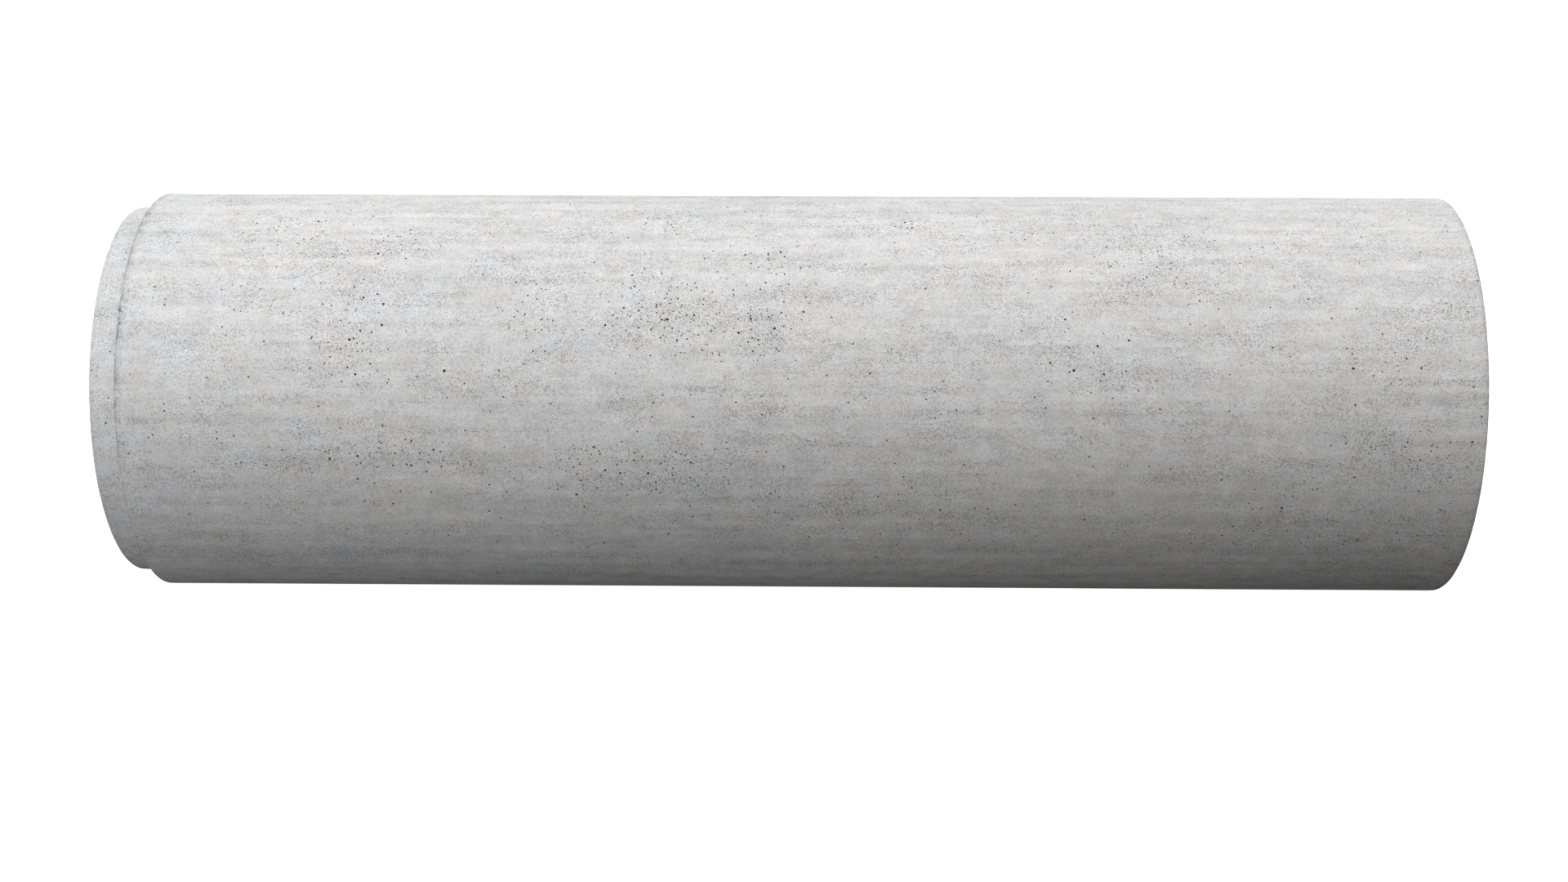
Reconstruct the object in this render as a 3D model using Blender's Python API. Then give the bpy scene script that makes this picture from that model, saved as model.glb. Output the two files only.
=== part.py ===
"""Precast reinforced concrete drain pipe with a rebated joint, nominal bore 600 mm.

The pipe lies on its side along X: the spigot tongue points to -X and the socket opens to +X. The origin is on the
ground under the middle of the pipe. Inside the cast wall sits one welded wire cage: straight longitudinal bars,
hoops around them, and clip-on spacers that hold the cage off the inner mould.
"""

import math

import bmesh
import bpy
from mathutils import Matrix, Vector

# Driving dimensions, in metres.
BORE_RADIUS = 0.300
WALL = 0.080
OUTER_RADIUS = BORE_RADIUS + WALL
LAYING_LENGTH = 2.450  # shoulder to socket end: what one pipe adds to a run
TONGUE_LENGTH = 0.054
TONGUE_TIP_RADIUS = 0.3527
TONGUE_ROOT_RADIUS = 0.3540
JOINT_GAP = 0.003  # radial room that the socket leaves round the tongue
SEAT_GAP = 0.002  # from the tongue's end to the socket's seat, with the shoulder home
MOUTH_DRAFT = 0.001  # how much wider the socket opens than the tongue's own taper asks
ARRIS_ROUNDING = 0.004  # the edges at the bore, the tongue tip, the shoulder and the socket end
JOINT_FILLET = 0.003  # the joint's inner corners and its small arrises

BAR_COUNT = 8
BAR_DIAMETER = 0.006
BAR_CIRCLE_RADIUS = 0.326
HOOP_COUNT = 17
HOOP_DIAMETER = 0.006
END_COVER = 0.020  # concrete over the bars' blind ends, at the tongue
HOOP_END_COVER = 0.028  # from the first and last hoop to the nearest concrete face
GAP = 0.0003  # between touching solids

SPACER_HOOPS = (2, 8, 14)  # counted from the tongue
SPACER_ANGLES = (30, 120, 210, 300)  # degrees, from the top towards -Y
SPACER_WIDTH = 0.008  # round the pipe
SPACER_STEM = 0.008  # along the pipe, as is the head
SPACER_HEAD = 0.0142
SPACER_HORN = 0.003  # how far the fork reaches past the wire's centre
SPACER_WEB = 0.003  # from the fork's bottom to the head's lower edge

# Facets. Counts are multiples of 4, so a flat facet lies on the ground and another faces each side.
FACETS = 72
HOOP_FACETS = 24
WIRE_FACETS = 6

# Places along X that follow from the sizes above, with the whole length centred on the origin.
OVERALL_LENGTH = LAYING_LENGTH + TONGUE_LENGTH
X_TIP = -OVERALL_LENGTH / 2
X_SHOULDER = X_TIP + TONGUE_LENGTH
X_END = OVERALL_LENGTH / 2
X_SEAT = X_END - TONGUE_LENGTH - SEAT_GAP
AXIS_HEIGHT = OUTER_RADIUS * math.cos(math.pi / FACETS)  # so that the lowest facet lies on the ground
HOOP_RADIUS = BAR_CIRCLE_RADIUS + (BAR_DIAMETER + HOOP_DIAMETER) / 2 * math.cos(math.pi / WIRE_FACETS) + GAP


def clear_scene():
    for obj in list(bpy.data.objects):
        bpy.data.objects.remove(obj)


def material(name, colour, roughness, metallic=0.0):
    made = bpy.data.materials.new(name)
    made.use_nodes = True
    shader = made.node_tree.nodes["Principled BSDF"]
    shader.inputs["Base Color"].default_value = (*colour, 1.0)
    shader.inputs["Roughness"].default_value = roughness
    shader.inputs["Metallic"].default_value = metallic
    made.diffuse_color = (*colour, 1.0)
    return made


def new_object(name, mesh, finish, collection=None):
    """An object whose origin is on the pipe's axis; a finish of None makes it a cutter."""
    obj = bpy.data.objects.new(name, mesh)
    (collection or bpy.context.scene.collection).objects.link(obj)
    obj.location.z = AXIS_HEIGHT
    if finish is None:
        obj.hide_render = True
        obj.display_type = "WIRE"
    elif not mesh.materials:
        mesh.materials.append(finish)
    return obj


def mesh_of(name, bm, smooth_below_deg=None):
    """Closes the bmesh into a mesh with outward faces; edges flatter than the given angle are shaded smooth."""
    bmesh.ops.remove_doubles(bm, verts=bm.verts, dist=1e-6)
    bmesh.ops.recalc_face_normals(bm, faces=bm.faces)
    mesh = bpy.data.meshes.new(name)
    bm.to_mesh(mesh)
    bm.free()
    if smooth_below_deg is not None:
        mesh.shade_smooth()
        mesh.set_sharp_from_angle(angle=math.radians(smooth_below_deg))
    return mesh


def filleted(corners):
    """The (x, radius) outline with each (x, radius, fillet, segments) corner rounded by a tangent arc."""
    outline = []
    for i, (x, radius, fillet, segments) in enumerate(corners):
        here = Vector((x, radius))
        to_last = (Vector(corners[i - 1][:2]) - here).normalized()
        to_next = (Vector(corners[(i + 1) % len(corners)][:2]) - here).normalized()
        half = to_last.angle(to_next) / 2
        centre = here + (to_last + to_next).normalized() * fillet / math.sin(half)
        start = (here + to_last * fillet / math.tan(half) - centre).normalized()
        end = (here + to_next * fillet / math.tan(half) - centre).normalized()
        for step in range(segments + 1):
            outline.append(centre + fillet * start.slerp(end, step / segments))
    return outline


def lathe(name, outline, facets):
    """The closed (x, radius) outline turned about the X axis, with a flat facet at the bottom."""
    bm = bmesh.new()
    half_facet = math.pi / facets
    ring = [bm.verts.new((x, r * math.sin(half_facet), r * math.cos(half_facet))) for x, r in outline]
    edges = [bm.edges.new((ring[i - 1], ring[i])) for i in range(len(ring))]
    bmesh.ops.spin(
        bm, geom=ring + edges, cent=(0, 0, 0), axis=(1, 0, 0), angle=2 * math.pi, steps=facets, use_merge=True
    )
    return mesh_of(name, bm, smooth_below_deg=35)


def pipe_outline():
    """The wall's section: tongue tip, shoulder, barrel, socket lip, socket and bore, with eased arrises."""
    taper = TONGUE_ROOT_RADIUS - TONGUE_TIP_RADIUS
    seat_radius = TONGUE_TIP_RADIUS + JOINT_GAP
    return filleted([
        (X_TIP, BORE_RADIUS, ARRIS_ROUNDING, 1),
        (X_TIP, TONGUE_TIP_RADIUS, ARRIS_ROUNDING, 2),
        (X_SHOULDER, TONGUE_ROOT_RADIUS, JOINT_FILLET, 1),
        (X_SHOULDER, OUTER_RADIUS, ARRIS_ROUNDING, 2),
        (X_END, OUTER_RADIUS, ARRIS_ROUNDING, 2),
        (X_END, seat_radius + taper + MOUTH_DRAFT, JOINT_FILLET, 1),
        (X_SEAT, seat_radius, JOINT_FILLET, 1),
        (X_SEAT, BORE_RADIUS, JOINT_FILLET, 1),
    ])


def wire_section(radius):
    """Offsets (across, outward) of a round wire's faceted section, with one flat facing straight outward."""
    return [
        (radius * math.cos(k * 2 * math.pi / WIRE_FACETS), radius * math.sin(k * 2 * math.pi / WIRE_FACETS))
        for k in range(WIRE_FACETS)
    ]


def bar_mesh(name, x_from, x_to, radius):
    """A straight wire along X at the bar circle's top; each bar's object is turned to its own place."""
    bm = bmesh.new()
    section = [bm.verts.new((x_from, y, BAR_CIRCLE_RADIUS + z)) for y, z in wire_section(radius)]
    face = bm.faces.new(section)
    swept = bmesh.ops.extrude_face_region(bm, geom=[face])["geom"]
    moved = [item for item in swept if isinstance(item, bmesh.types.BMVert)]
    bmesh.ops.translate(bm, verts=moved, vec=(x_to - x_from, 0, 0))
    return mesh_of(name, bm, smooth_below_deg=61)


def hoop_mesh(name, radius):
    """A closed ring of wire about the X axis. The middles of its facets lie at HOOP_RADIUS, where bars cross."""
    bm = bmesh.new()
    half_facet = math.pi / HOOP_FACETS
    ring = []
    for across, outward in wire_section(radius):
        r = (HOOP_RADIUS + outward) / math.cos(half_facet)
        ring.append(bm.verts.new((across, r * math.sin(half_facet), r * math.cos(half_facet))))
    edges = [bm.edges.new((ring[i - 1], ring[i])) for i in range(len(ring))]
    bmesh.ops.spin(
        bm, geom=ring + edges, cent=(0, 0, 0), axis=(1, 0, 0), angle=2 * math.pi, steps=HOOP_FACETS, use_merge=True
    )
    return mesh_of(name, bm, smooth_below_deg=61)


def spacer_outline(grow, foot_radius, notched):
    """The clip's (x, radius) side view: a stem from the bore, and a fork that grips the hoop from inside."""
    stem, head = SPACER_STEM / 2 + grow, SPACER_HEAD / 2 + grow
    wire = HOOP_DIAMETER / 2 + GAP
    neck = HOOP_RADIUS - wire - SPACER_WEB - grow
    top = HOOP_RADIUS + SPACER_HORN + grow
    flare = head - stem
    right = [(stem, foot_radius), (stem, neck - flare), (head, neck), (head, top)]
    left = [(-x, r) for x, r in reversed(right)]
    if not notched:
        return right + left
    arc_steps = 4
    notch = [(wire, top)]
    for step in range(arc_steps + 1):
        turn = -math.pi * step / arc_steps
        notch.append((wire * math.cos(turn), HOOP_RADIUS + wire * math.sin(turn)))
    notch.append((-wire, top))
    return right + notch + left


def spacer_mesh(name, grow, foot_radius, notched):
    bm = bmesh.new()
    half = SPACER_WIDTH / 2 + grow
    face = bm.faces.new([bm.verts.new((x, -half, r)) for x, r in spacer_outline(grow, foot_radius, notched)])
    swept = bmesh.ops.extrude_face_region(bm, geom=[face])["geom"]
    moved = [item for item in swept if isinstance(item, bmesh.types.BMVert)]
    bmesh.ops.translate(bm, verts=moved, vec=(0, 2 * half, 0))
    bmesh.ops.triangulate(bm, faces=[f for f in bm.faces if len(f.verts) > 4])
    return mesh_of(name, bm)


def hoop_places():
    first, last = X_TIP + HOOP_END_COVER, X_SEAT - HOOP_END_COVER
    return [first + (last - first) * i / (HOOP_COUNT - 1) for i in range(HOOP_COUNT)]


def spacer_places():
    return [(hoop_places()[hoop], angle) for hoop in SPACER_HOOPS for angle in SPACER_ANGLES]


def turn_about_axis(obj, degrees, x=0.0):
    """Turns obj about the pipe's axis, from the top towards -Y, and moves it along X."""
    obj.matrix_world = Matrix.Translation((x, 0, AXIS_HEIGHT)) @ Matrix.Rotation(math.radians(degrees), 4, "X")


def add_cage(steel, plastic):
    bar = bar_mesh("bar", X_TIP + END_COVER, X_SEAT, BAR_DIAMETER / 2)
    for i in range(BAR_COUNT):
        turn_about_axis(new_object(f"longitudinal_bar_{i + 1:02d}", bar, steel), 360 * i / BAR_COUNT)
    hoop = hoop_mesh("hoop", HOOP_DIAMETER / 2)
    for i, x in enumerate(hoop_places()):
        new_object(f"hoop_{i + 1:02d}", hoop, steel).location.x = x
    foot_radius = BORE_RADIUS * math.cos(math.pi / FACETS)  # flush with the bore's facet
    spacer = spacer_mesh("spacer", 0.0, foot_radius, notched=True)
    for i, (x, angle) in enumerate(spacer_places()):
        turn_about_axis(new_object(f"cage_spacer_{i + 1:02d}", spacer, plastic), angle, x)


def cage_cutters():
    """A collection of slightly larger bars, hoops and spacers, which leave the cage's room in the cast wall."""
    cutters = bpy.data.collections.new("cage_cutters")
    bpy.context.scene.collection.children.link(cutters)
    past_face = 0.004
    bar = bar_mesh("bar_cutter", X_TIP + END_COVER - GAP, X_SEAT + past_face, BAR_DIAMETER / 2 + GAP)
    for i in range(BAR_COUNT):
        turn_about_axis(new_object(f"bar_cutter_{i + 1:02d}", bar, None, cutters), 360 * i / BAR_COUNT)
    hoop = hoop_mesh("hoop_cutter", HOOP_DIAMETER / 2 + GAP)
    for i, x in enumerate(hoop_places()):
        new_object(f"hoop_cutter_{i + 1:02d}", hoop, None, cutters).location.x = x
    spacer = spacer_mesh("spacer_cutter", GAP, BORE_RADIUS - past_face, notched=False)
    for i, (x, angle) in enumerate(spacer_places()):
        turn_about_axis(new_object(f"spacer_cutter_{i + 1:02d}", spacer, None, cutters), angle, x)
    return cutters


def add_pipe(concrete):
    """The one cast body, with the cage's room cut out of its wall."""
    pipe = new_object("concrete_pipe", lathe("concrete_pipe", pipe_outline(), FACETS), concrete)
    cut = pipe.modifiers.new("cage_room", "BOOLEAN")
    cut.operation = "DIFFERENCE"
    cut.operand_type = "COLLECTION"
    cut.collection = cage_cutters()
    cut.solver = "EXACT"


def main():
    clear_scene()
    concrete = material("cast_concrete", (0.55, 0.545, 0.535), 0.9)
    steel = material("drawn_steel_wire", (0.28, 0.24, 0.21), 0.55, 0.8)
    plastic = material("spacer_plastic", (0.22, 0.22, 0.23), 0.5)
    add_pipe(concrete)
    add_cage(steel, plastic)


main()
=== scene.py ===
"""The look of a precast concrete drain pipe: its cast surface, its cage's finish, the studio and the camera.

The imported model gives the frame: the pipe lies along X, spigot tongue to -X and socket to +X, on the ground
at z = 0. Angles round the pipe are measured from its top towards the camera's side, -Y.
"""

import math
import random

import bpy
import numpy as np
from mathutils import Matrix, Vector, noise


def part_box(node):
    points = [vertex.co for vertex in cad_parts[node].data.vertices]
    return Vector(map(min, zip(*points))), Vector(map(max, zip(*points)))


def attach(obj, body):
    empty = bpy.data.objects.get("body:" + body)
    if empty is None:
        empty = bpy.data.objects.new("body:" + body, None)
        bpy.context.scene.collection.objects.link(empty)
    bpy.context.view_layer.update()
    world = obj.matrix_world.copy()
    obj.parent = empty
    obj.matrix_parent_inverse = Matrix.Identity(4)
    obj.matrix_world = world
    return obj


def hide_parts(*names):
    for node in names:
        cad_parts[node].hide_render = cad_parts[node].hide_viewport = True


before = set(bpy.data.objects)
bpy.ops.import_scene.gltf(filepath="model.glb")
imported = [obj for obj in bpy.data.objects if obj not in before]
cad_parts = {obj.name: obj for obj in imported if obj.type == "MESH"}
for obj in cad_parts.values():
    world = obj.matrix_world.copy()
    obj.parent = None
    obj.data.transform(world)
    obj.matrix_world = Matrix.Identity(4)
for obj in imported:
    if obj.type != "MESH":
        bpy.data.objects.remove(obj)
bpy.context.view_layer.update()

# The pipe's section, in metres. Its ends, its outer radius and the socket's seat are read from the frame.
PIPE_LOW, PIPE_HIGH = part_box("concrete_pipe")
X_TIP, X_END = PIPE_LOW.x, PIPE_HIGH.x
AXIS_HEIGHT = (PIPE_LOW.z + PIPE_HIGH.z) / 2
OUTER_RADIUS = AXIS_HEIGHT - PIPE_LOW.z
BORE_RADIUS = 0.300
TONGUE_LENGTH = 0.054
TONGUE_TIP_RADIUS = 0.3527
TONGUE_ROOT_RADIUS = 0.3540
SEAT_RADIUS = 0.3557
MOUTH_RADIUS = 0.3580
ARRIS_ROUNDING = 0.004
JOINT_FILLET = 0.003
BAR_END_PROUD = 0.0004  # so that the bars' cut ends show in the socket's seat
BAR_COUNT = 8
STEP_RADIUS = OUTER_RADIUS - 0.012  # on the shoulder's face, between the tongue and the barrel
X_SHOULDER = X_TIP + TONGUE_LENGTH
X_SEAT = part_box("longitudinal_bar_01")[1].x - BAR_END_PROUD

# How finely the section is cut, in metres, and how many sides it is turned into.
FINE_STEP = 0.0127
BORE_STEP = 0.040
SIDES = 192

# How far the cast face strays from its true shape, in metres.
SWELL = 0.00022
FINE_SWELL = 0.00012
WEAR = 0.0004  # at the rounded edges, as are the chips
CHIP_DEPTH = 0.0012
CHIP_THRESHOLD = 0.45  # of a noise from -1 to 1, so that chips are rare

# Where air holes crowd the cast face: x in metres, angle from the top in degrees, spread in
# metres along and round the pipe, number of holes. A hole whose cell is taken or too small is left out.
CLUSTERS = [
    (-0.21, 68, 0.065, 0.045, 90),
    (-0.04, 70, 0.035, 0.035, 34),
    (-0.02, 48, 0.030, 0.020, 18),
    (-0.22, 33, 0.030, 0.030, 22),
    (-0.45, 68, 0.030, 0.030, 22),
    (-0.76, 65, 0.022, 0.020, 20),
    (-0.73, 45, 0.040, 0.025, 22),
    (-0.77, 79, 0.040, 0.025, 22),
    (-0.75, 107, 0.090, 0.020, 40),
    (-0.28, 111, 0.110, 0.030, 50),
    (-0.92, 40, 0.060, 0.040, 16),
    (0.20, 32, 0.060, 0.020, 18),
    (0.66, 52, 0.080, 0.040, 24),
    (0.55, 82, 0.060, 0.030, 14),
    (1.12, 104, 0.070, 0.020, 22),
    (1.10, 78, 0.045, 0.030, 16),
    (0.15, 122, 0.160, 0.030, 16),
    (0.95, 128, 0.120, 0.040, 12),
]
HIDDEN_CLUSTERS = 16  # at random places on the barrel's far side

# The air holes large enough to be seen singly: x in metres, angle in degrees, radius in millimetres.
LARGE_HOLES = [
    (-0.99, 35, 1.5), (-0.99, 68, 1.7), (-0.985, 103, 1.8), (-0.92, 65, 1.4), (-0.82, 83, 1.3),
    (-0.77, 76, 1.8), (-0.765, 86, 2.2), (-0.76, 122, 1.8), (-0.745, 51, 1.5), (-0.725, 85, 1.5),
    (-0.725, 106, 1.7), (-0.71, 123, 2.0), (-0.69, 41, 1.8), (-0.69, 51, 1.7), (-0.68, 45, 1.5),
    (-0.67, 111, 1.6), (-0.635, 119, 1.8), (-0.63, 46, 1.4), (-0.57, 101, 1.7), (-0.485, 59, 1.6),
    (-0.34, 105, 1.8), (-0.32, 40, 1.8), (-0.32, 72, 2.2), (-0.235, 97, 1.5), (-0.22, 110, 1.7),
    (-0.21, 112, 1.6), (-0.20, 73, 1.8), (-0.19, 76, 1.5), (-0.165, 91, 1.5), (-0.125, 65, 1.4),
    (-0.10, 116, 1.5), (-0.055, 79, 1.7), (-0.01, 79, 1.6), (0.135, 34, 1.5), (0.17, 38, 1.5),
    (0.27, 97, 1.5), (0.345, 44, 1.3), (0.42, 122, 1.7), (0.53, 102, 1.4), (0.56, 77, 2.3),
    (0.66, 29, 1.7), (0.66, 62, 1.6), (0.675, 53, 1.8), (0.685, 49, 1.6), (0.77, 45, 1.5),
    (0.775, 59, 1.5), (0.785, 114, 1.8), (0.88, 53, 1.5), (0.975, 104, 1.7), (1.01, 79, 1.8),
    (1.02, 113, 1.8), (1.11, 103, 1.7), (1.215, 35, 1.6), (1.22, 67, 1.7), (1.225, 103, 2.0),
]

# How many air holes are scattered over each zone of the section, beside the clusters, and left out alike.
BACKGROUND_HOLES = {"barrel": 260, "tongue": 16, "face": 60, "socket": 14, "bore": 200}
HOLE_SEED = 7

# The radii of the scattered air holes, in metres: the smallest, and the most that is added to it.
CLUSTER_HOLE_RADII = (0.0011, 0.0014)
BACKGROUND_HOLE_RADII = (0.0009, 0.0018)
HOLE_SPREAD = 0.0004  # what is added on average, before that limit
DEEP_HOLE_RADIUS = 0.0019  # larger holes get one more step in their wall
SMALLEST_FIT = 0.0011  # a cell that can't hold a hole of this radius gets none
CELL_SHARE = 0.42  # the largest radius, as a share of the cell's shorter side
RIM_MARGIN = 1.15  # from a hole's middle to its cell's edge, in radii

# The rust stain round a bar's end, in metres: how far it reaches to the sides and up and down, and how far
# its middle lies below the bar's.
STAIN_WIDTH = 0.011
STAIN_HEIGHT = 0.016
STAIN_SAG = 0.004

# Larger paler (+) and darker (-) marks: x in metres, angle in degrees, reach in metres along and round
# the pipe, strength.
MARKS = [
    (-0.69, 73, 0.045, 0.030, 0.05),
    (-0.25, 83, 0.045, 0.020, 0.05),
    (-0.30, 89, 0.045, 0.016, -0.05),
    (0.10, 111, 0.060, 0.012, 0.07),
    (0.22, 112, 0.045, 0.010, 0.07),
    (0.45, 103, 0.030, 0.020, 0.05),
    (-0.93, 137, 0.060, 0.050, 0.07),
    (-0.42, 140, 0.070, 0.045, 0.06),
    (-0.55, 67, 0.110, 0.010, -0.05),
    (-0.78, 107, 0.110, 0.012, -0.06),
    (0.18, 58, 0.120, 0.012, -0.04),
    (0.15, 30, 0.150, 0.012, -0.04),
    (1.08, 104, 0.150, 0.014, -0.05),
    (0.75, 120, 0.450, 0.010, -0.04),
    (0.75, 132, 0.550, 0.035, 0.05),
    (0.20, 121, 0.160, 0.030, 0.05),
    (-0.95, 66, 0.300, 0.150, 0.03),
    # painted light: these two marks make the tongue's lower part paler
    (-1.22, 122, 0.022, 0.250, 0.09),
    (-1.23, 160, 0.030, 0.130, 0.10),
    (-0.60, 83, 0.100, 0.009, -0.05),
    (-0.95, 93, 0.150, 0.010, -0.04),
    (0.62, 118, 0.020, 0.050, 0.05),
    (1.05, 35, 0.250, 0.060, 0.02),
    (0.80, 24, 0.600, 0.120, -0.03),
    (1.10, 117, 0.200, 0.060, 0.05),
    (0.20, 131, 0.350, 0.030, 0.04),
    (1.05, 156, 0.350, 0.080, -0.07),
    # painted shade: a dark patch on the barrel's lower part at the socket's end
    (1.26, 148, 0.014, 0.110, -0.15),
    (-0.90, 150, 0.300, 0.050, -0.05),
]


# ---------------------------------------------------------------- the cast surface's mesh


def arc(before, corner, after, fillet, segments):
    """Points that round one corner of the section with a tangent arc."""
    to_last = (before - corner).normalized()
    to_next = (after - corner).normalized()
    half = to_last.angle(to_next) / 2
    centre = corner + (to_last + to_next).normalized() * fillet / math.sin(half)
    start = (corner + to_last * fillet / math.tan(half) - centre).normalized()
    end = (corner + to_next * fillet / math.tan(half) - centre).normalized()
    return [centre + fillet * start.slerp(end, step / segments) for step in range(segments + 1)]


def section():
    """The closed section as points (x, radius), and the zone of the run from each point to the next."""
    corners = [  # x, radius, rounding, segments, then the zone and step of the run that follows
        (X_TIP, BORE_RADIUS, ARRIS_ROUNDING, 3, "face", FINE_STEP),
        (X_TIP, TONGUE_TIP_RADIUS, ARRIS_ROUNDING, 4, "tongue", FINE_STEP),
        (X_SHOULDER, TONGUE_ROOT_RADIUS, JOINT_FILLET, 3, "face", FINE_STEP),
        (X_SHOULDER, OUTER_RADIUS, ARRIS_ROUNDING, 4, "barrel", FINE_STEP),
        (X_END, OUTER_RADIUS, ARRIS_ROUNDING, 4, "face", FINE_STEP),
        (X_END, MOUTH_RADIUS, JOINT_FILLET, 3, "socket", FINE_STEP),
        (X_SEAT, SEAT_RADIUS, JOINT_FILLET, 3, "face", FINE_STEP),
        (X_SEAT, BORE_RADIUS, JOINT_FILLET, 3, "bore", BORE_STEP),
    ]
    sharp = [Vector(corner[:2]) for corner in corners]
    count = len(corners)
    arcs = [arc(sharp[i - 1], sharp[i], sharp[(i + 1) % count], *corners[i][2:4]) for i in range(count)]
    points, zones = [], []
    for i, (_, _, _, segments, zone, step) in enumerate(corners):
        start, end = arcs[i][-1], arcs[(i + 1) % count][0]
        cuts = max(1, round((end - start).length / step))
        points += arcs[i] + [start.lerp(end, k / cuts) for k in range(1, cuts)]
        zones += ["arris"] * segments + [zone] * cuts
    return points, zones


def hole_radius(draw, smallest, most_added):
    """A radius in metres; small holes are far more common than large ones."""
    return smallest + min(most_added, draw.expovariate(1 / HOLE_SPREAD))


class CastSurface:
    """The section turned into a closed mesh, with one cell for each step and side.

    An air hole is a small pit sunk into one cell.
    """

    RIM = [math.radians(22.5 + 45 * k) for k in range(8)]  # the angles of a hole's rim points
    SHARP_ANGLE = math.radians(38)

    # Across the unwrapped square: where the outside and the bore start, and how wide they are.
    OUTSIDE_STRIP = (0.004, 0.652)
    BORE_STRIP = (0.664, 0.332)
    UNWRAP_MARGIN = 0.004  # left free above and below them

    def __init__(self):
        self.points, self.zones = section()
        self.rows = len(self.points)
        self.steps = [(self.points[(i + 1) % self.rows] - self.points[i]).length for i in range(self.rows)]
        self.arc_length = [sum(self.steps[:i]) for i in range(self.rows + 1)]
        self.vertices, self.places = [], []  # a place is (length along the section, side), for the unwrapping
        self.faces, self.cells, self.depths = [], [], []
        self.holes = {}

    def turn(self, side):
        """The angle from the top towards -Y, in radians, of a count of sides from the bottom."""
        return math.pi + 2 * math.pi * side / SIDES

    def relief(self, i, x, turn):
        """How far the cast face at a point stands out of its true place, in metres."""
        at = Vector((x * 3, math.sin(turn) * 2.5, math.cos(turn) * 2.5))
        swell = SWELL * noise.noise(at) + FINE_SWELL * noise.noise(at * 3.1)
        if "arris" in (self.zones[i], self.zones[i - 1]):
            wear_and_edge_shade = noise.noise(Vector((x * 40, math.sin(turn) * 16, math.cos(turn) * 16)))
            chipped = noise.noise(Vector((x * 9 + 7, math.sin(turn) * 45, math.cos(turn) * 45)))
            swell -= WEAR * abs(wear_and_edge_shade) + CHIP_DEPTH * max(0.0, chipped - CHIP_THRESHOLD)
        return swell

    def outward(self, i):
        """The section's outward normal at a point, as (along x, along the radius)."""
        along = self.points[(i + 1) % self.rows] - self.points[i - 1]
        return Vector((-along.y, along.x)).normalized()

    def add_vertex(self, position, length, side):
        self.vertices.append(position)
        self.places.append((length, side))
        return len(self.vertices) - 1

    def add_grid(self):
        for i, (x, radius) in enumerate(self.points):
            outward = self.outward(i)
            for side in range(SIDES):
                turn = self.turn(side)
                out = self.relief(i, x, turn)
                r = radius + out * outward.y
                y, z = -r * math.sin(turn), AXIS_HEIGHT + r * math.cos(turn)
                self.add_vertex(Vector((x + out * outward.x, y, z)), self.arc_length[i], side)

    def corners_of(self, i, side):
        """The cell's four grid vertices, in order round it."""
        grid = ((i, side), (i, side + 1), (i + 1, side + 1), (i + 1, side))
        return [row % self.rows * SIDES + place % SIDES for row, place in grid]

    def add_face(self, corners, cell, depth=0.0):
        self.faces.append(corners)
        self.cells.append(cell)
        self.depths.append(depth)

    def add_hole(self, cell, hole):
        """Sinks a small round pit into one cell, its eight-sided rim stitched to the cell's corners."""
        i, side = cell
        across, along, radius, depth, wobble = hole
        ring = self.corners_of(i, side)
        a, d, c, b = [self.vertices[v] for v in ring]
        width, length = (d - a).length, (b - a).length
        inward = (b - a).cross(d - a).normalized()

        def point(u, v, sunk):
            flat = a.lerp(d, u).lerp(b.lerp(c, u), v)
            return self.add_vertex(flat + inward * sunk, self.arc_length[i] + v * self.steps[i], side + u)

        def circle(share, sunk):
            made = []
            for k, angle in enumerate(self.RIM):
                reach = radius * share * (1 + wobble[k])
                u, v = across + reach * math.cos(angle) / width, along + reach * math.sin(angle) / length
                made.append(point(u, v, sunk))
            return made

        shapes = [(1.0, 0.0), (0.84, 0.7 * depth)]  # share of the radius, and how far it is sunk
        if radius > DEEP_HOLE_RADIUS:
            shapes.append((0.5, depth))
        circles = [circle(share, sunk) for share, sunk in shapes]
        rim = circles[0]
        for m in range(4):
            before, after = rim[(4 + 2 * m) % 8], rim[(5 + 2 * m) % 8]
            self.add_face((ring[m], after, before), cell)
            self.add_face((ring[m], ring[(m + 1) % 4], rim[(6 + 2 * m) % 8], after), cell)
        for outer, inner in zip(circles, circles[1:]):
            for k in range(8):
                self.add_face((outer[k], outer[(k + 1) % 8], inner[(k + 1) % 8], inner[k]), cell, 1.0)
        bottom = point(across, along, depth * 1.1)
        for k in range(8):
            self.add_face((circles[-1][k], circles[-1][(k + 1) % 8], bottom), cell, 1.0)

    def add_faces(self):
        for i in range(self.rows):
            for side in range(SIDES):
                if (i, side) in self.holes:
                    self.add_hole((i, side), self.holes[i, side])
                else:
                    self.add_face(self.corners_of(i, side), (i, side))

    def place_hole(self, draw, i, side, radius, along=None, across=None):
        """Puts a hole inside a cell, at a given place or anywhere, if the cell is free and large enough."""
        width = 2 * math.pi * self.points[i].y / SIDES
        length = self.steps[i]
        fit = CELL_SHARE * min(width, length)
        if (i, side) in self.holes or fit < SMALLEST_FIT:
            return
        radius = min(radius, fit)
        margin_across, margin_along = radius * RIM_MARGIN / width, radius * RIM_MARGIN / length
        across = draw.random() if across is None else across
        along = draw.random() if along is None else along
        across = min(max(across, margin_across), 1 - margin_across)
        along = min(max(along, margin_along), 1 - margin_along)
        wobble = [draw.uniform(-0.13, 0.08) for _ in self.RIM]
        self.holes[i, side] = (across, along, radius, radius * draw.uniform(0.9, 1.4), wobble)

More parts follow.
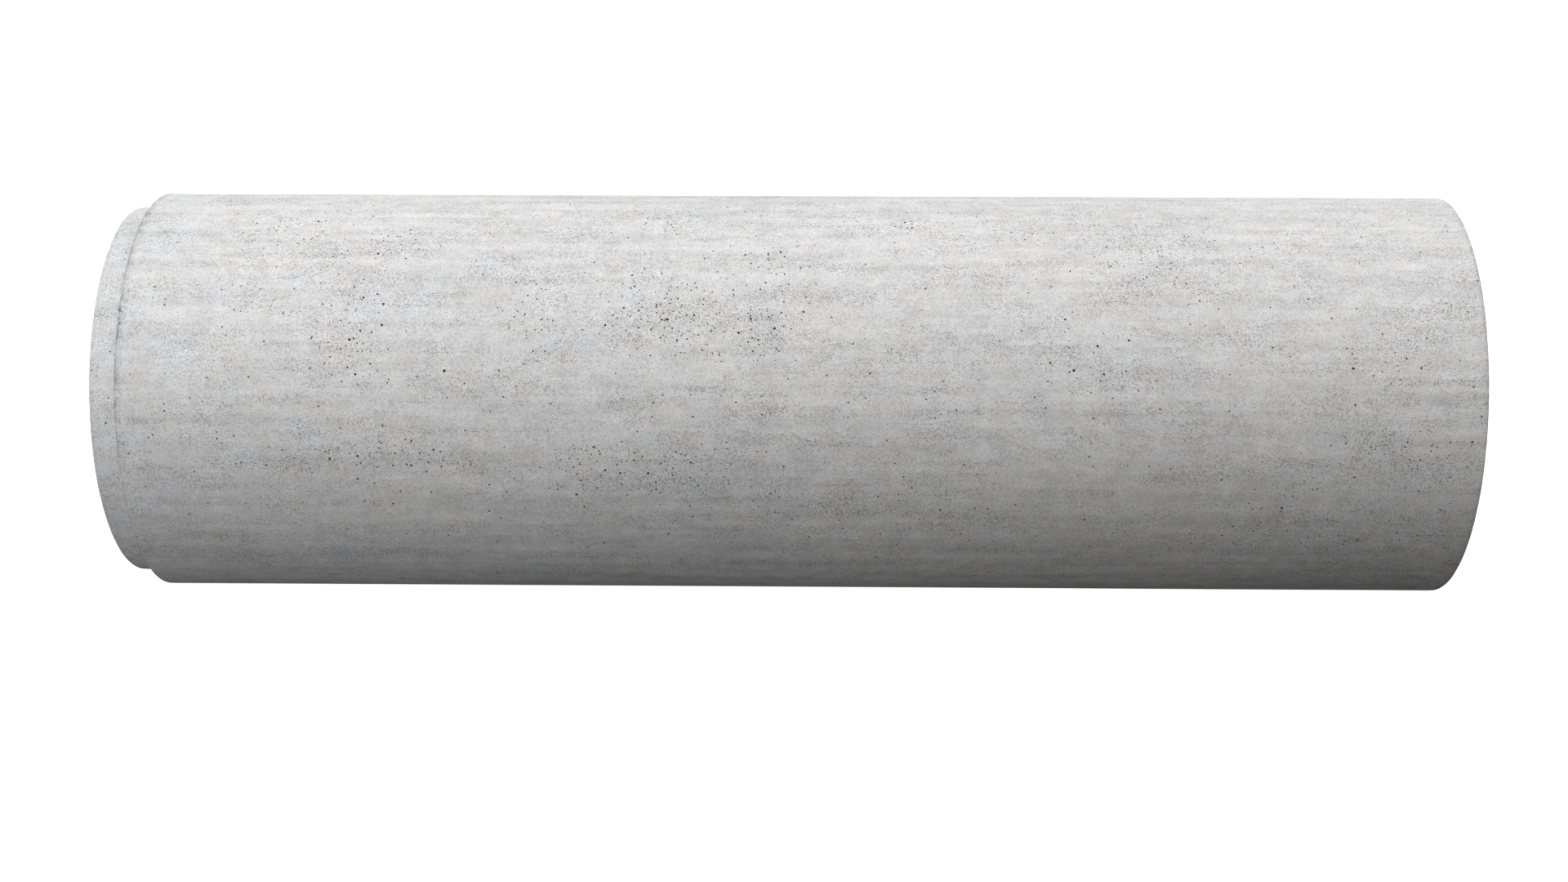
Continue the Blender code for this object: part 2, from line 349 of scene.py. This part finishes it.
    def scatter_holes(self):
        """Places every air hole, and returns the clusters of the visible and the hidden side."""
        draw = random.Random(HOLE_SEED)
        barrel = [i for i in range(self.rows) if self.zones[i] == "barrel"]
        start, step = self.points[barrel[0]].x, self.steps[barrel[0]]
        for x, angle, millimetres in LARGE_HOLES:
            row, sides = (x - start) / step, ((angle - 180) / 360 * SIDES) % SIDES
            self.place_hole(draw, barrel[0] + int(row), int(sides), millimetres / 1000, row % 1, sides % 1)
        clusters = list(CLUSTERS)
        for _ in range(HIDDEN_CLUSTERS):
            x, angle = draw.uniform(-1.1, 1.15), draw.uniform(190, 350)
            along, around = draw.uniform(0.03, 0.11), draw.uniform(0.02, 0.045)
            clusters.append((x, angle, along, around, draw.randint(16, 50)))
        for x, angle, along, around, count in clusters:
            for _ in range(count):
                at = x + draw.gauss(0, along)
                turn = math.radians(angle) + draw.gauss(0, around) / OUTER_RADIUS
                i = barrel[0] + int((at - start) / step)
                side = int((turn - math.pi) / (2 * math.pi) * SIDES) % SIDES
                if barrel[0] <= i <= barrel[-1]:
                    self.place_hole(draw, i, side, hole_radius(draw, *CLUSTER_HOLE_RADII))
        for zone, count in BACKGROUND_HOLES.items():
            rows = [i for i in range(self.rows) if self.zones[i] == zone]
            for _ in range(count):
                i, side = draw.choice(rows), draw.randrange(SIDES)
                self.place_hole(draw, i, side, hole_radius(draw, *BACKGROUND_HOLE_RADII))
        return clusters

    def unwrap(self, mesh):
        """Lays the outside and the bore flat, side by side, each one cut open along the bottom."""
        bore_from = self.arc_length[self.zones.index("bore")]
        end = self.arc_length[-1]
        length, side = np.array(self.places).T
        corner_vertex = np.empty(len(mesh.loops), int)
        mesh.loops.foreach_get("vertex_index", corner_vertex)
        sizes = np.array([len(face) for face in self.faces])
        cell_row, cell_side = np.repeat(np.array(self.cells), sizes, axis=0).T
        along, around = length[corner_vertex], side[corner_vertex]
        along = np.where((cell_row == self.rows - 1) & (along < end / 2), end, along)
        around = np.where((cell_side == SIDES - 1) & (around < 1), around + SIDES, around) / SIDES
        in_bore = cell_row >= self.zones.index("bore")
        bore_u, outside_u = [start + width * around for start, width in (self.BORE_STRIP, self.OUTSIDE_STRIP)]
        u = np.where(in_bore, bore_u, outside_u)
        v = np.where(in_bore, (along - bore_from) / (end - bore_from), along / bore_from)
        v = self.UNWRAP_MARGIN + (1 - 2 * self.UNWRAP_MARGIN) * v
        uv = mesh.uv_layers.new(name="OFBake")
        uv.uv.foreach_set("vector", np.stack([u, v], 1).astype(np.float32).ravel())

    def build(self):
        clusters = self.scatter_holes()
        self.add_grid()
        self.add_faces()
        mesh = bpy.data.meshes.new("concrete_pipe_cast")
        mesh.from_pydata(self.vertices, [], self.faces)
        self.unwrap(mesh)
        mesh.attributes.new("hole", "FLOAT", "FACE").data.foreach_set("value", self.depths)
        for name, values in self.masks(clusters).items():
            mesh.attributes.new(name, "FLOAT", "POINT").data.foreach_set("value", values.astype(np.float32))
        mesh.shade_smooth()
        mesh.set_sharp_from_angle(angle=self.SHARP_ANGLE)
        mesh.validate()
        return mesh

    def masks(self, clusters):
        """Values over the surface, one for each vertex, that the concrete's material reads by name.

        porous and tone_and_painted_light are patches of the outside, the latter's marks partly painted
        light and painted shade, wear_and_edge_shade the rounded arrises, shoulder_shade where painted
        shade lies round the shoulder, tongue_highlight the lower part of the tongue, which gets a painted
        highlight, rust the stain round the bars' ends, joint what the end rings form, core what the inner
        mould forms, and ring the length along the section.
        """
        at = np.array([tuple(v) for v in self.vertices])
        x, turn = at[:, 0], np.arctan2(-at[:, 1], at[:, 2] - AXIS_HEIGHT)
        radius = np.hypot(at[:, 1], at[:, 2] - AXIS_HEIGHT)
        outside = (radius > TONGUE_TIP_RADIUS - 0.001) & (x < X_END - 0.001)

        def blob(x0, angle, along, around):
            off = (turn - math.radians(angle) + math.pi) % (2 * math.pi) - math.pi
            return np.exp(-(((x - x0) / along) ** 2) - (off * OUTER_RADIUS / around) ** 2) * outside

        def above(angle, soft, least=0.0):
            """1 near the top, falling to the least over a soft edge that ends at the angle, in degrees."""
            return np.clip((math.radians(angle) - np.abs(turn)) / math.radians(soft), least, 1)

        def below(angle, soft):
            """0 near the top, rising to 1 over a soft edge that starts at the angle, in degrees."""
            return np.clip((np.abs(turn) - math.radians(angle)) / math.radians(soft), 0, 1)

        rounded = np.array(["arris" in (self.zones[i], self.zones[i - 1]) for i in range(self.rows)])
        wear_and_edge_shade = np.zeros(len(at))
        wear_and_edge_shade[: self.rows * SIDES] = np.repeat(rounded, SIDES)
        rust = np.zeros(len(at))
        for k in range(1, BAR_COUNT + 1):
            low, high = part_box(f"longitudinal_bar_{k:02d}")
            y, z = (low.y + high.y) / 2, (low.z + high.z) / 2
            off_y, off_z = (at[:, 1] - y) / STAIN_WIDTH, (at[:, 2] - z + STAIN_SAG) / STAIN_HEIGHT
            rust += np.exp(-(off_y**2) - off_z**2)
        in_bore = radius < BORE_RADIUS + 0.002
        porous = sum(blob(x0, a, 1.5 * s, 1.5 * t) * min(1, n / 30) for x0, a, s, t, n in clusters)
        return {
            "porous": np.minimum(porous, 1.2),
            "tone_and_painted_light": sum(blob(x0, a, s, t) * strength for x0, a, s, t, strength in MARKS),
            "wear_and_edge_shade": wear_and_edge_shade,
            # painted shade along the shoulder's edge, strongest over the upper part of the pipe
            "shoulder_shade": above(112, 20, least=0.05) * (radius > STEP_RADIUS),
            # the lower part of the tongue, which gets a painted highlight
            "tongue_highlight": below(82, 15) * above(160, 15) * (radius < STEP_RADIUS) * outside,
            "rust": rust * (x > X_SEAT - 0.002),
            "joint": 1.0 - ((radius > OUTER_RADIUS - 0.004) & outside) - in_bore,
            "core": 1.0 * in_bore,
            "ring": np.array(self.places)[:, 0],
        }


# ---------------------------------------------------------------- materials


class Shader:
    """One material's nodes. An input is a number, a colour, a vector or another node's output."""

    def __init__(self, name, **surface):
        self.material = bpy.data.materials.new(name)
        self.material.use_nodes = True
        self.tree = self.material.node_tree
        self.surface = self.tree.nodes["Principled BSDF"]
        self.place = self.tree.nodes.new("ShaderNodeTexCoord").outputs["Object"]
        for socket, value in surface.items():
            self.surface.inputs[socket].default_value = value

    def feed(self, socket, value):
        if isinstance(value, bpy.types.NodeSocket):
            self.tree.links.new(value, socket)
        else:
            socket.default_value = value

    def node(self, kind, inputs, **settings):
        made = self.tree.nodes.new("ShaderNode" + kind)
        for name, value in settings.items():
            setattr(made, name, value)
        for key, value in inputs.items():
            self.feed(made.inputs[key], value)
        return made

    def math(self, operation, a, b=0.0):
        return self.node("Math", {0: a, 1: b}, operation=operation).outputs[0]

    def add(self, *terms):
        total = terms[0]
        for term in terms[1:]:
            total = self.math("ADD", total, term)
        return total

    def times(self, a, b):
        return self.math("MULTIPLY", a, b)

    def attribute(self, name):
        return self.node("Attribute", {}, attribute_name=name).outputs["Fac"]

    def scaled(self, per_metre):
        return self.node("Mapping", {"Vector": self.place, "Scale": per_metre}).outputs[0]

    def noise(self, per_metre, detail=2.0, roughness=0.5):
        """Noise about 0, with the given counts of grains per metre along X, Y and Z."""
        inputs = {"Vector": self.scaled(per_metre), "Scale": 1.0, "Detail": detail, "Roughness": roughness}
        return self.math("SUBTRACT", self.node("TexNoise", inputs).outputs["Fac"], 0.5)

    def ramp(self, value, low, high, to_low=0.0, to_high=1.0):
        inputs = {"Value": value, "From Min": low, "From Max": high, "To Min": to_low, "To Max": to_high}
        return self.node("MapRange", inputs).outputs[0]

    def mix(self, share, a, b):
        return self.node("Mix", {0: share, 6: a, 7: b}, data_type="RGBA").outputs[2]

    def bump(self, height, distance, strength=1.0):
        made = self.node("Bump", {"Height": height, "Distance": distance, "Strength": strength})
        self.feed(self.surface.inputs["Normal"], made.outputs[0])


# The concrete's colours, and the painted shadow in its air holes, with an alpha of 1.
COOL_CONCRETE = (0.4945, 0.498, 0.5105, 1)
WARM_CONCRETE = (0.5065, 0.498, 0.4855, 1)
RUST_STAIN = (0.26, 0.15, 0.085, 1)
PIT_SHADOW = (0.030, 0.029, 0.028, 1)


def pinholes(s, per_metre, size, share):
    """1 inside small round dots, which take up the given share of the cells, and 0 outside."""
    cell = s.node("TexVoronoi", {"Vector": s.scaled((per_metre,) * 3), "Scale": 1.0, "Randomness": 1.0})
    split = s.node("SeparateColor", {"Color": cell.outputs["Color"]})
    chosen = s.math("LESS_THAN", split.outputs[0], share)
    reach = s.ramp(split.outputs[1], 0.0, 1.0, 0.6 * size, 1.15 * size)
    inside = s.math("SUBTRACT", reach, cell.outputs["Distance"])
    return s.times(s.ramp(inside, -0.15 * size, 0.15 * size), chosen)


def sand(s, per_metre):
    """A crisp random value for each grain of sand; dark grains stand out more than pale ones."""
    cell = s.node("TexVoronoi", {"Vector": s.scaled((per_metre,) * 3), "Scale": 1.0, "Randomness": 1.0})
    value = s.node("SeparateColor", {"Color": cell.outputs["Color"]}).outputs[0]
    return s.math("SUBTRACT", s.math("MINIMUM", value, 0.55), 0.40)


def paint_edge_shade(s, along, shoulder_shade, barrel):
    """How much painted shade darkens the shoulder's edge and the socket's rim, broken up by noise."""
    lines = s.add(
        s.ramp(along, X_SHOULDER + 0.001, X_SHOULDER + 0.005, 0.17, 0.0),
        s.ramp(along, X_END - 0.008, X_END, 0.0, 0.26),
    )
    shoulder = s.ramp(along, X_SHOULDER, X_SHOULDER + 0.016, 0.30, 0.0)
    edge_shade = s.add(s.times(shoulder, shoulder_shade), s.times(lines, barrel))
    return s.times(edge_shade, s.ramp(s.noise((60, 60, 60), 3, 0.7), -0.12, 0.12, 0.5, 1.4))


def mould_rings(s, ring, joint):
    """Fine rings, about 0, where the end moulds formed the joint."""
    inputs = {"W": s.times(ring, 380.0), "Scale": 1.0, "Detail": 2.0}
    rings = s.node("TexNoise", inputs, noise_dimensions="1D")
    return s.times(s.math("SUBTRACT", rings.outputs["Fac"], 0.5), joint)


def concrete_tint(s, along, mottle):
    """From a cooler to a warmer grey, warmer on the whole towards the socket."""
    warmth = s.add(
        s.ramp(along, X_TIP, X_END, -0.065, 0.085),
        s.times(s.noise((2, 4, 4), 1, 0.6), 0.35),
        s.noise((12, 22, 22), 3, 0.7),
        s.times(mottle, -0.4),
    )
    return s.mix(s.ramp(warmth, -0.17, 0.17), COOL_CONCRETE, WARM_CONCRETE)


def bar_end_stain(s, rust):
    """How far rust from the bars' ends has stained the concrete, from 0 to 0.75."""
    return s.times(rust, s.ramp(s.add(s.noise((150, 150, 150), 3, 0.6), rust), 0.1, 1.0, 0.0, 0.75))


def cast_concrete():
    """Light grey cast concrete: cloudy, streaked along the mould and stippled, with dark air holes."""
    s = Shader("cast_concrete_look")
    names = ("porous", "tone_and_painted_light", "wear_and_edge_shade", "shoulder_shade", "tongue_highlight", "rust", "joint", "core", "ring")
    porous, tone_and_painted_light, wear_and_edge_shade, shoulder_shade, tongue_highlight, rust, joint, core, ring = [s.attribute(name) for name in names]
    clouds = s.noise((6, 10, 10), 2, 0.6)
    blotches = s.noise((16, 22, 22), 2, 0.6)
    mottle = s.noise((32, 46, 46), 2, 0.7)
    streaks = s.noise((2.5, 42, 42), 3, 0.65)
    grain = s.noise((260, 260, 260), 1, 1.0)
    patches = s.noise((9, 24, 24), 3, 0.6)
    coarse = s.ramp(s.add(patches, s.times(porous, 0.16), s.times(streaks, -0.4)), -0.06, 0.16)
    dots = pinholes(s, 330, 0.27, s.ramp(coarse, 0.0, 1.0, 0.04, 0.38))
    specks = pinholes(s, 130, 0.19, s.ramp(porous, 0.0, 1.0, 0.04, 0.50))
    along = s.node("SeparateXYZ", {"Vector": s.place}).outputs[0]
    barrel = s.math("SUBTRACT", 1.0, s.add(joint, core))
    edge_shade = paint_edge_shade(s, along, shoulder_shade, barrel)
    # a painted highlight: the tongue's lower part is made up to 10% paler next to the shoulder
    painted_highlight = s.times(s.ramp(along, X_SHOULDER - 0.020, X_SHOULDER - 0.009, 0.0, 0.10), tongue_highlight)
    stipple = s.add(
        s.times(s.math("MINIMUM", grain, 0.09), 0.2),
        s.times(sand(s, 640), 0.78),
        s.times(sand(s, 300), 0.04),
    )
    rings = mould_rings(s, ring, joint)
    shade = s.add(
        0.991,
        # marks that vary the tone, with painted light on the tongue and painted shade by the socket's end
        tone_and_painted_light,
        s.times(clouds, 0.13),
        s.times(blotches, 0.22),
        s.times(mottle, 0.39),
        s.times(streaks, s.ramp(joint, 0.0, 1.0, 0.43, 0.10)),
        s.times(rings, 0.35),
        s.times(stipple, s.ramp(coarse, 0.0, 1.0, 0.8, 1.5)),
        s.times(coarse, -0.04),
        # painted shade: the rounded arrises are made slightly darker
        s.times(wear_and_edge_shade, -0.02),
        # painted shade darkens the shoulder's edge and the socket's rim
        s.times(edge_shade, -1.0),
        painted_highlight,
        s.times(core, -0.05),
    )
    tint = concrete_tint(s, along, mottle)
    colour = s.node("VectorMath", {0: tint, "Scale": shade}, operation="SCALE").outputs[0]
    colour = s.mix(bar_end_stain(s, rust), colour, RUST_STAIN)
    # painted shadow: the air holes' walls and bottoms, and the shader's dots and specks, are made near black
    pits = s.math("MAXIMUM", s.attribute("hole"), s.math("MAXIMUM", s.times(dots, 0.50), specks))
    s.feed(s.surface.inputs["Base Color"], s.mix(s.times(pits, 0.97), colour, PIT_SHADOW))
    s.feed(s.surface.inputs["Roughness"], s.ramp(s.add(mottle, s.times(grain, 0.5)), -0.2, 0.2, 0.78, 0.95))
    height = s.add(
        s.times(grain, 0.35),
        s.times(streaks, 0.3),
        s.times(rings, 0.5),
        s.times(dots, -0.6),
        s.times(specks, -1.0),
    )
    s.bump(height, 0.0012)
    s.surface.inputs["Specular IOR Level"].default_value = 0.35
    return s.material


def drawn_wire():
    """Cold-drawn wire with a thin bloom of rust."""
    s = Shader("drawn_steel_wire_look")
    rust = s.ramp(s.noise((120, 260, 260), 5, 0.65), -0.06, 0.10)
    die_marks = s.ramp(s.noise((40, 900, 900), 2), -0.2, 0.2)
    steel = s.mix(die_marks, (0.23, 0.225, 0.22, 1), (0.34, 0.33, 0.32, 1))
    flecks = s.ramp(s.noise((500, 500, 500), 3), -0.2, 0.2)
    bloom = s.mix(flecks, (0.13, 0.052, 0.022, 1), (0.27, 0.125, 0.055, 1))
    s.feed(s.surface.inputs["Base Color"], s.mix(rust, steel, bloom))
    s.feed(s.surface.inputs["Metallic"], s.ramp(rust, 0.0, 1.0, 0.85, 0.05))
    s.feed(s.surface.inputs["Roughness"], s.ramp(rust, 0.0, 1.0, 0.42, 0.9))
    s.bump(s.add(s.times(rust, 0.5), s.noise((700, 700, 700), 3)), 0.0003)
    return s.material


def moulded_plastic():
    """Grey moulded plastic with a fine spark-eroded grain and a film of cement."""
    s = Shader("spacer_plastic_look")
    film = s.ramp(s.noise((180, 180, 180), 4, 0.6), 0.0, 0.14)
    grain = s.noise((1500, 1500, 1500), 2)
    base = s.mix(s.ramp(grain, -0.2, 0.2), (0.060, 0.061, 0.064, 1), (0.085, 0.086, 0.090, 1))
    s.feed(s.surface.inputs["Base Color"], s.mix(s.times(film, 0.6), base, (0.36, 0.355, 0.34, 1)))
    s.feed(s.surface.inputs["Roughness"], s.ramp(film, 0.0, 1.0, 0.45, 0.85))
    s.bump(s.add(grain, film), 0.0002)
    return s.material


# ---------------------------------------------------------------- the pieces


def add_pipe():
    pipe = bpy.data.objects.new("concrete_pipe_cast", CastSurface().build())
    bpy.context.scene.collection.objects.link(pipe)
    pipe.data.materials.append(cast_concrete())
    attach(pipe, "root")
    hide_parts("concrete_pipe")


def finish_cage():
    wire, plastic = drawn_wire(), moulded_plastic()
    for name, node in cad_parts.items():
        if name == "concrete_pipe":
            continue
        finish = plastic if name.startswith("cage_spacer") else wire
        for slot in node.material_slots:
            slot.material = finish


# ---------------------------------------------------------------- the studio

# The camera's place and aim, in metres and radians, as the outline in the photo asks.
SENSOR_WIDTH = 36.0  # millimetres, as is the lens
LENS = 51.0
CAMERA_DISTANCE = 4.3347  # from the pipe's axis
CAMERA_X = 0.0569
YAW = 0.01407  # the camera turns to the left
PITCH = -0.02222  # it looks down where this is negative
ROLL = 0.00484  # the picture turns clockwise

# The backdrop, in metres: a round floor, a cove of this radius and a wall of this height above the floor.
FLOOR_RADIUS = 9.0
COVE_RADIUS = 3.0
WALL_HEIGHT = 6.0
BACKDROP_SIDES = 64
COVE_STEPS = 10
PAPER_GREY = 0.35
PAPER_GLOW = 0.99  # with the light that falls on it, this makes the backdrop white

# The lights' strengths, and the angles in degrees of the wide light from the front.
HIGH_LIGHT = 1.95
HIGH_LIGHT_ELEVATION = 60
HIGH_LIGHT_WIDTH = 50
SKY_OVERHEAD = 1.22
SKY_FILL = 0.356


def add_camera():
    """A camera nearly square to the pipe's side, at its axis's height, with its small turn, tilt and roll."""
    data = bpy.data.cameras.new("camera")
    data.sensor_width = SENSOR_WIDTH
    data.lens = LENS
    camera = bpy.data.objects.new("camera", data)
    bpy.context.scene.collection.objects.link(camera)
    forward = Vector((-math.sin(YAW) * math.cos(PITCH), math.cos(YAW) * math.cos(PITCH), math.sin(PITCH)))
    level = Vector((math.cos(YAW), math.sin(YAW), 0.0))
    upright = level.cross(forward)
    right = math.cos(ROLL) * level + math.sin(ROLL) * upright
    top = right.cross(forward)
    camera.matrix_world = Matrix((right, top, -forward)).transposed().to_4x4()
    camera.location = (CAMERA_X, -CAMERA_DISTANCE, AXIS_HEIGHT)
    bpy.context.scene.camera = camera


def add_backdrop():
    """A pale studio floor that curves up into a wall all round.

    It throws no light back at the pipe's underside, and blocks none, since one light stands below the floor.
    """
    sides = BACKDROP_SIDES
    outline = [(0.0, 0.0), (FLOOR_RADIUS, 0.0)]
    for step in range(1, COVE_STEPS + 1):
        angle = math.pi / 2 * step / COVE_STEPS
        outline.append((FLOOR_RADIUS + COVE_RADIUS * math.sin(angle), COVE_RADIUS * (1 - math.cos(angle))))
    outline.append((FLOOR_RADIUS + COVE_RADIUS, WALL_HEIGHT))
    vertices = [(0.0, 0.0, 0.0)]
    for radius, height in outline[1:]:
        for k in range(sides):
            turn = 2 * math.pi * k / sides
            vertices.append((radius * math.cos(turn), radius * math.sin(turn), height))
    faces = [(0, 1 + k, 1 + (k + 1) % sides) for k in range(sides)]
    for ring in range(len(outline) - 2):
        for k in range(sides):
            a, b = 1 + ring * sides + k, 1 + ring * sides + (k + 1) % sides
            faces.append((a, a + sides, b + sides, b))
    mesh = bpy.data.meshes.new("backdrop")
    mesh.from_pydata(vertices, [], faces)
    mesh.shade_smooth()
    backdrop = bpy.data.objects.new("backdrop", mesh)
    bpy.context.scene.collection.objects.link(backdrop)
    paper = Shader("backdrop_paper", Roughness=1.0)
    paper.surface.inputs["Base Color"].default_value = (PAPER_GREY, PAPER_GREY, PAPER_GREY, 1)
    paper.surface.inputs["Emission Color"].default_value = (1, 1, 1, 1)
    paper.surface.inputs["Emission Strength"].default_value = PAPER_GLOW
    mesh.materials.append(paper.material)
    backdrop.visible_diffuse = False
    backdrop.visible_glossy = False
    backdrop.visible_shadow = False


def add_sky_light():
    """Even light from overhead that fades to nothing at the horizon, with a weaker fill from the front."""
    world = bpy.data.worlds.new("studio")
    world.use_nodes = True
    bpy.context.scene.world = world
    nodes, links = world.node_tree.nodes, world.node_tree.links

    def math_node(operation, a, b):
        made = nodes.new("ShaderNodeMath")
        made.operation = operation
        links.new(a, made.inputs[0])
        if isinstance(b, bpy.types.NodeSocket):
            links.new(b, made.inputs[1])
        else:
            made.inputs[1].default_value = b
        return made.outputs[0]

    split = nodes.new("ShaderNodeSeparateXYZ")
    links.new(nodes.new("ShaderNodeTexCoord").outputs["Generated"], split.inputs[0])
    overhead = math_node("MAXIMUM", math_node("MULTIPLY", split.outputs["Z"], SKY_OVERHEAD), 0.0)
    fill = math_node("MAXIMUM", math_node("MULTIPLY", split.outputs["Y"], -SKY_FILL), 0.0)
    links.new(math_node("ADD", overhead, fill), nodes["Background"].inputs["Strength"])
    nodes["Background"].inputs["Color"].default_value = (1, 1, 1, 1)


def add_soft_light(name, aim_x, azimuth, elevation, distance, size, power):
    """A square soft light that faces a point of the axis, with its azimuth and elevation in degrees.

    Azimuth 0 is the camera's side and 90 the tongue's.
    """
    data = bpy.data.lights.new(name, "AREA")
    data.size = size
    data.energy = power
    light = bpy.data.objects.new(name, data)
    bpy.context.scene.collection.objects.link(light)
    a, e = math.radians(azimuth), math.radians(elevation)
    away = Vector((-math.sin(a) * math.cos(e), -math.cos(a) * math.cos(e), math.sin(e)))
    light.location = Vector((aim_x, 0, AXIS_HEIGHT)) + away * distance
    light.rotation_mode = "QUATERNION"
    light.rotation_quaternion = (-away).to_track_quat("-Z", "Y")


def add_high_light():
    """A far, wide light from the front, high up, which is even all along the pipe."""
    data = bpy.data.lights.new("high_light", "SUN")
    data.energy = HIGH_LIGHT
    data.angle = math.radians(HIGH_LIGHT_WIDTH)
    light = bpy.data.objects.new("high_light", data)
    bpy.context.scene.collection.objects.link(light)
    light.rotation_euler = (math.radians(90 - HIGH_LIGHT_ELEVATION), 0, 0)


def add_studio():
    bpy.context.scene.view_settings.view_transform = "Standard"
    add_backdrop()
    add_sky_light()
    add_high_light()
    add_soft_light("low_light", aim_x=-2.0, azimuth=0, elevation=-15, distance=3.5, size=1.5, power=37.0)
    for side, azimuth in (("left", 135), ("right", 225)):
        name = f"back_light_{side}"
        add_soft_light(name, aim_x=0.0, azimuth=azimuth, elevation=5, distance=4.0, size=2.0, power=50.0)


add_pipe()
finish_cage()
add_camera()
add_studio()
